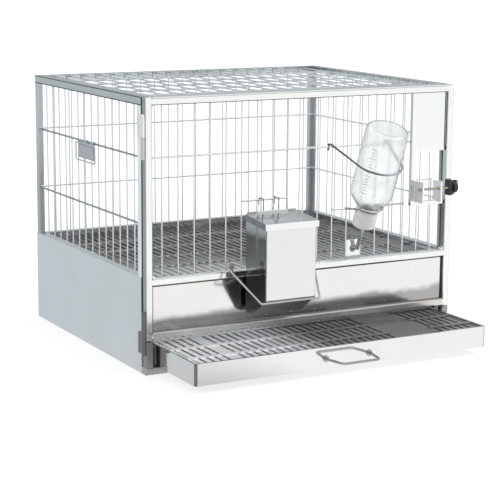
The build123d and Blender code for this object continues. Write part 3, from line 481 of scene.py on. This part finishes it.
# Hinges: two pinned hinges of rolled sheet on a drawn pin, welded to the left post and the stile.
# The pins have slightly domed ends.
# Painted shade: the hinges are painted darker from 0.2 m down, most below 0.12 m.
hinge_steel = steel("hinge_steel", (0.90, 0.90, 0.90), 0.3, (1, 1, 0.06), stain=0.1, shine=0.5,
                    fade=("Z", 0.2, 0.12, 0.2, 0))
finish(hinge_steel, "hinge_body_halves", "hinge_pins")
leaf_steel = steel("leaf_steel", (0.62, 0.62, 0.62), 0.3, (1, 1, 0.06), stain=0.15, shine=0.5,
                   fade=("Z", 0.2, 0.12, 0.3, 0))
finish(leaf_steel, "hinge_door_halves")
pin_dome = 0.0012
pin_ends = bmesh.new()
for low, high in wire_boxes("hinge_pins"):
    across = high.x - low.x
    for z in (low.z, high.z):
        add_blob(pin_ends, ((low.x + high.x) / 2, (low.y + high.y) / 2, z), (across, across, pin_dome))
piece("hinge_pin_ends", pin_ends, hinge_steel, "cage_body")


# Door: bright square tube, welded and polished, with a recessed sheet panel below the wire window.
# The panel is spot welded along its edges, and each wire is welded to the rails at both ends.
# Near-black strips along the panel's edges, on the body behind the door and beside the tray are painted
# shade in the gaps.
def plastic(name, colour, rough, fleck):
    """Moulded plastic with a fine grain in tone, gloss and surface."""
    paint = bpy.data.materials.new(name)
    paint.use_nodes = True
    tree = paint.node_tree
    shader = tree.nodes["Principled BSDF"]
    spot = tree.nodes.new("ShaderNodeTexCoord").outputs["Object"]
    grain = noise(tree, spot, fleck, 3.0)
    dark, light = [shade * 0.93 for shade in colour], [min(shade * 1.06, 1) for shade in colour]
    tinted = tone_ramp(tree, grain, [(0.3, dark), (0.7, light)])
    gloss = wire_up(tree, "ShaderNodeMapRange", {"Value": grain, "From Min": 0.3, "From Max": 0.7,
                                                 "To Min": rough * 0.8, "To Max": rough * 1.25})
    bump = wire_up(tree, "ShaderNodeBump", {"Strength": 0.1, "Distance": 0.0003, "Height": grain})
    tree.links.new(tinted, shader.inputs["Base Color"])
    tree.links.new(gloss.outputs[0], shader.inputs["Roughness"])
    tree.links.new(bump.outputs[0], shader.inputs["Normal"])
    return paint


# Painted shade: the door's left faces and edges that round to the right or down are painted darker, and its
# foot below 0.105 m; the latch stile and corner bars get less of it.
door_steel = steel("door_steel", (0.85, 0.86, 0.85), 0.12, (0.06, 1, 0.06), stain=0.06, sides=0.5, edge_shade=0.3,
                   fade=("Z", 0.105, 0.075, 0.62, 0))
finish(door_steel, "door_hinge_stile", "door_top_rail", "door_mid_rail", "door_window_webs")
bright_steel = steel("bright_steel", (0.87, 0.88, 0.87), 0.12, (0.06, 1, 0.06), stain=0.06, sides=0.8,
                     edge_shade=0.5)
finish(bright_steel, "door_latch_stile", "door_corner_bars")
lower_rail_steel = steel("lower_rail_steel", (0.72, 0.69, 0.67), 0.24, (0.05, 1, 1), stain=0.35)
finish(lower_rail_steel, "door_lower_rail")
# Painted reflection: the panel is painted darker across its foot, below 0.124 m, with a ragged top edge.
panel_steel = steel("panel_steel", (0.81, 0.80, 0.785), 0.12, (0.3, 1, 1), wave=0.3, stain=0.08,
                    fade=("Z", 0.124, 0.115, 0.5, 0.05))
finish(panel_steel, "door_panel")
plate_steel = steel("plate_steel", (0.86, 0.87, 0.87), 0.14, (1, 1, 0.06), wave=0.04, stain=0.04)
finish(plate_steel, "door_corner_plate")
door_wire = steel("door_wire", (0.84, 0.85, 0.85), 0.24, (1, 1, 0.03), stain=0.12, shine=0.75)
finish(door_wire, "door_grid")
weld_wires("door_grid_welds", "door_grid", door_wire, "door", weld_size)
foot_spread, foot_height = 1.5, 0.9
wire_feet = bmesh.new()
for low, high in wire_boxes("door_grid"):
    across = high.x - low.x
    if across > high.z - low.z:
        continue
    for z in (low.z, high.z):
        add_blob(wire_feet, ((low.x + high.x) / 2, (low.y + high.y) / 2, z),
                 (across * foot_spread, across * foot_spread, across * foot_height))
piece("door_wire_feet", wire_feet, door_wire, "door")
panel_dots = bmesh.new()
low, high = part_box("door_panel")
panel_dot, panel_dot_depth, edge_inset, dots_along = 0.0035, 0.0002, 0.006, 12
for step in range(dots_along):
    x = low.x + (high.x - low.x) * (step + 0.5) / dots_along
    for z in (low.z + edge_inset, high.z - edge_inset):
        add_blob(panel_dots, (x, low.y, z), (panel_dot, panel_dot_depth, panel_dot))
piece("door_panel_welds", panel_dots, panel_steel, "door")
# Painted shade: near-black strips in the gaps along the panel's sides and top and beside the corner plate.
gap_black_paint = plastic("painted_gap_black", (0.05, 0.05, 0.05), 0.5, 600)
gap_line_width, gap_line_depth = 0.002, 0.0012
gap_lines = bmesh.new()
add_block(gap_lines, (low.x, low.y - gap_line_depth, low.z), (low.x + gap_line_width, low.y, high.z))
add_block(gap_lines, (high.x - gap_line_width, low.y - gap_line_depth, low.z), (high.x, low.y, high.z))
add_block(gap_lines, (low.x, low.y - gap_line_depth, high.z - gap_line_width), (high.x, low.y, high.z))
low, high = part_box("door_corner_plate")
add_block(gap_lines, (high.x, low.y, low.z), (high.x + gap_line_width, high.y, high.z))
piece("door_edge_shade_lines", gap_lines, gap_black_paint, "door")
filler = 0.0025
fillers = bmesh.new()
for rail in ("door_top_rail", "door_mid_rail", "door_lower_rail"):
    low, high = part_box(rail)
    for inner, outer in ((low.x, low.x - filler), (high.x, high.x + filler)):
        add_block(fillers, (min(inner, outer), low.y, low.z + filler),
                  (max(inner, outer), low.y + filler, high.z - filler))
piece("door_corner_fillers", fillers, bright_steel, "door")
post_low, post_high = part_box("front_posts")
rail_low, rail_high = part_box("front_top_rail")
# Painted shade: near-black strips on the front posts and top rail fill the gap behind the door.
gap_shade_depth, gap_shade_width, gap_shade_foot, gap_shade_top_inset = 0.0022, 0.009, 0.06, 0.003
gap_shades = bmesh.new()
for outer, inner in ((post_low.x, post_low.x + gap_shade_width), (post_high.x - gap_shade_width, post_high.x)):
    add_block(gap_shades, (outer, post_low.y - gap_shade_depth, gap_shade_foot), (inner, post_low.y, post_high.z))
add_block(gap_shades, (rail_low.x, rail_low.y - gap_shade_depth, rail_low.z),
          (rail_high.x, rail_low.y, rail_high.z - gap_shade_top_inset))
piece("door_gap_shades", gap_shades, gap_black_paint, "cage_body")
# Painted shade: near-black strips line the portal posts' faces beside the tray.
slot_shade_depth, slot_shade_inset = 0.0015, 0.002
low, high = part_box("portal_posts")
slot_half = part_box("door_panel")[1].x
slot_shades = bmesh.new()
for face, inner in ((-slot_half, -slot_half + slot_shade_depth), (slot_half - slot_shade_depth, slot_half)):
    add_block(slot_shades, (face, low.y + slot_shade_inset, low.z + slot_shade_inset),
              (inner, high.y - slot_shade_inset, high.z - slot_shade_inset))
piece("tray_slot_shades", slot_shades, gap_black_paint, "cage_body")


# Latch: a drawn rod in two sheet eyes and a black plastic bearing, turned by a ribbed plastic knob.
# A flat tongue on its end hooks behind the keeper that is welded to the right post.
latch_steel = steel("latch_steel", (0.50, 0.48, 0.45), 0.22, (0.05, 1, 1), stain=0.5)
finish(latch_steel, "latch_rod", "latch_tongue", "latch_keeper")
eye_steel = steel("eye_steel", (0.97, 0.97, 0.97), 0.42, (1, 1, 0.1), stain=0.03, shine=0.1)
finish(eye_steel, "latch_eye")
black_plastic = plastic("black_plastic", (0.022, 0.022, 0.024), 0.36, 900)
finish(black_plastic, "latch_bearing", "latch_knob")
knob_low, knob_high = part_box("latch_knob")
knob_middle = (knob_low + knob_high) / 2
knob_radius = (knob_high.z - knob_low.z) / 2
ridge, ridge_count, ridge_end = 0.0008, 20, 0.0016
ridge_length = knob_high.x - knob_low.x - 2 * ridge_end
ridges = bmesh.new()
for step in range(ridge_count):
    turn_by = tau * step / ridge_count
    middle = knob_middle + knob_radius * Vector((0, cos(turn_by), sin(turn_by)))
    add_blob(ridges, middle, (ridge_length, ridge, ridge))
piece("knob_ridges", ridges, black_plastic, "latch")


# Feeder: a polished sheet hopper with a sloped baffle and a sloped lid that is hinged at the rear.
# Two thin wires hook it over the hanger wire, and spot welds show on its sides.
# Painted shade: the hopper's left faces and rounded corners are painted darker.
feeder_steel = steel("feeder_steel", (0.76, 0.77, 0.76), 0.12, (0.7, 1, 1), wave=0.03, stain=0.04,
                     sides=0.65, under_rough=0.38, corners=0.5)
finish(feeder_steel, "feeder_hopper")
baffle_steel = steel("baffle_steel", (0.45, 0.45, 0.45), 0.25, (0.06, 1, 1), stain=0.3)
finish(baffle_steel, "feeder_baffle")
# Painted shade: the lid's left faces are painted darker.
lid_steel = steel("lid_steel", (0.84, 0.86, 0.85), 0.12, (0.06, 1, 1), wave=0.05, stain=0.08, sides=0.32)
finish(lid_steel, "feeder_lid")
hook_steel = steel("hook_steel", (0.26, 0.26, 0.26), 0.3, (1, 1, 0.05), stain=0.3)
finish(hook_steel, "feeder_hooks", "feeder_lid_pin")
feeder_dots = bmesh.new()
low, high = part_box("feeder_hopper")
side_dot, side_dot_depth, side_dot_inset = 0.0035, 0.0003, 0.008
for x in (low.x, high.x):
    for height_share in (0.45, 0.62, 0.79, 0.93):
        z = low.z + (high.z - low.z) * height_share
        add_blob(feeder_dots, (x, high.y - side_dot_inset, z), (side_dot_depth, side_dot, side_dot))
piece("feeder_spot_welds", feeder_dots, feeder_steel, "feeder")


# Bail: a bent wire that swings in two lugs on the door's middle rail and holds the feeder's foot.
# The lugs are sheet, welded to the rail.
bail_steel = steel("bail_steel", (0.60, 0.60, 0.60), 0.18, (0.3, 0.3, 0.3), stain=0.2)
finish(bail_steel, "feeder_bail", "bail_lugs")
lug_bead_start, lug_bead_count = 0.0015, 5
lug_welds = bmesh.new()
for low, high in wire_boxes("bail_lugs"):
    for step in range(lug_bead_count):
        z = low.z + lug_bead_start + bead_pitch * step
        add_blob(lug_welds, (low.x, high.y, z), (bead, bead * bead_squeeze, bead))
piece("bail_lug_welds", lug_welds, bail_steel, "door")


# Bottle: clear blown plastic with moulded grey graduations, held upside down and leaning outwards.
# Its screw cap carries a steel drinking tube with a ball in the tip.
bottle_lean = radians(22.0)
cap_mouth = Vector((0.108, -0.026544, 0.222))
bottle_up = Vector((0, -sin(bottle_lean), cos(bottle_lean)))
bottle_across = Vector((1, 0, 0))
bottle_back = bottle_up.cross(bottle_across)
clear_plastic = bpy.data.materials.new("clear_plastic")
clear_plastic.use_nodes = True
tree = clear_plastic.node_tree
shader = tree.nodes["Principled BSDF"]
spot = tree.nodes.new("ShaderNodeTexCoord").outputs["Object"]
ripple_scale = 60.0
uneven = noise(tree, spot, ripple_scale, 2.0)
gloss = wire_up(tree, "ShaderNodeMapRange", {"Value": uneven, "To Min": 0.13, "To Max": 0.2})
ripple = wire_up(tree, "ShaderNodeBump", {"Strength": 0.06, "Distance": 0.001, "Height": uneven})
tint = tone_ramp(tree, uneven, [(0.3, (0.90, 0.92, 0.92)), (0.7, (0.95, 0.96, 0.96))])
tree.links.new(tint, shader.inputs["Base Color"])
tree.links.new(gloss.outputs[0], shader.inputs["Roughness"])
tree.links.new(ripple.outputs[0], shader.inputs["Normal"])
shader.inputs["Transmission Weight"].default_value = 1.0
shader.inputs["IOR"].default_value = 1.42
finish(clear_plastic, "bottle_shell")
mark_ink = plastic("mark_ink", (0.16, 0.17, 0.18), 0.5, 700)
bottle_radius, mark_lift = 0.037, 0.00015
mark_bearing, mark_low, mark_step, mark_count = radians(-148), 0.075, 0.0055, 16
long_mark, short_mark, mark_height, mark_parts = 0.010, 0.006, 0.0009, 4
marks = bmesh.new()
for step in range(mark_count):
    arc = long_mark if step % 3 == 0 else short_mark
    for part in range(mark_parts):
        corners = []
        for along, rise in ((part, 0), (part + 1, 0), (part + 1, mark_height), (part, mark_height)):
            angle = mark_bearing + (along / mark_parts - 0.5) * arc / bottle_radius
            out = cos(angle) * bottle_across + sin(angle) * bottle_back
            level = mark_low + mark_step * step + rise
            corners.append(cap_mouth + (bottle_radius + mark_lift) * out + level * bottle_up)
        marks.faces.new([marks.verts.new(corner) for corner in corners])
piece("bottle_graduations", marks, mark_ink, "bottle")
cap_plastic = plastic("cap_plastic", (0.94, 0.94, 0.90), 0.42, 320)
finish(cap_plastic, "bottle_cap")
cap_radius, cap_length, rib_count, rib_width = 0.020, 0.030, 40, 0.001
rib_middle, rib_length = 0.48 * cap_length, 0.88 * cap_length
leaning = Matrix((bottle_across, bottle_back, bottle_up)).transposed()
cap_ribs = bmesh.new()
for step in range(rib_count):
    angle = tau * step / rib_count
    out = cos(angle) * bottle_across + sin(angle) * bottle_back
    middle = cap_mouth + cap_radius * out + rib_middle * bottle_up
    add_blob(cap_ribs, middle, (rib_width, rib_width, rib_length), leaning)
piece("bottle_cap_ribs", cap_ribs, cap_plastic, "bottle")
tube_steel = steel("tube_steel", (0.70, 0.70, 0.70), 0.14, (1, 1, 0.05), stain=0.1)
finish(tube_steel, "drinking_tube")
tube_length, ball, ball_set = 0.050, 0.0046, 0.35
tip_ball = bmesh.new()
add_blob(tip_ball, cap_mouth - (tube_length - ball * ball_set) * bottle_up, (ball, ball, ball))
piece("drinking_tube_ball", tip_ball, tube_steel, "bottle")


# Bottle holders: a wire loop on a cross wire under the shoulder, and a dark spring wire across the body.
# A small plate with a hole stands in front of the drinking tube.
cradle_steel = steel("cradle_steel", (0.62, 0.62, 0.62), 0.2, (0.3, 0.3, 0.3), stain=0.2)
finish(cradle_steel, "bottle_cradle")
# Painted highlight: the spring wire is painted lighter from x 0.085 m, 2.6 times as light past 0.105 m.
spring_steel = steel("spring_steel", (0.20, 0.20, 0.21), 0.26, (0.3, 0.3, 0.3), stain=0.3,
                     fade=("X", 0.085, 0.105, 2.6, 0))
finish(spring_steel, "bottle_retainer")
sipper_steel = steel("sipper_steel", (0.84, 0.84, 0.84), 0.12, (0.1, 1, 1), stain=0.1)
finish(sipper_steel, "sipper_plate")


# Card holder: a small plate that hangs by two rolled ears on the left wall's upper rib.
# A wire frame borders it, and a blank paper card is slipped in front of the plate.
holder_steel = steel("holder_steel", (0.48, 0.51, 0.53), 0.4, (1, 0.1, 1), stain=0.05, shine=0.4)
finish(holder_steel, "card_plate", "card_frame")
low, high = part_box("card_plate")
paper = plastic("card_paper", (0.46, 0.49, 0.52), 0.7, 500)
paper_margin, paper_sheet, plate_height = 0.003, 0.0003, 0.0285
card_low = (low.x - paper_sheet, low.y + paper_margin, low.z + paper_margin)
card_high = (low.x, high.y - paper_margin, low.z + plate_height - paper_margin)
card = bmesh.new()
add_block(card, card_low, card_high)
piece("blank_card", card, paper, "card_holder")
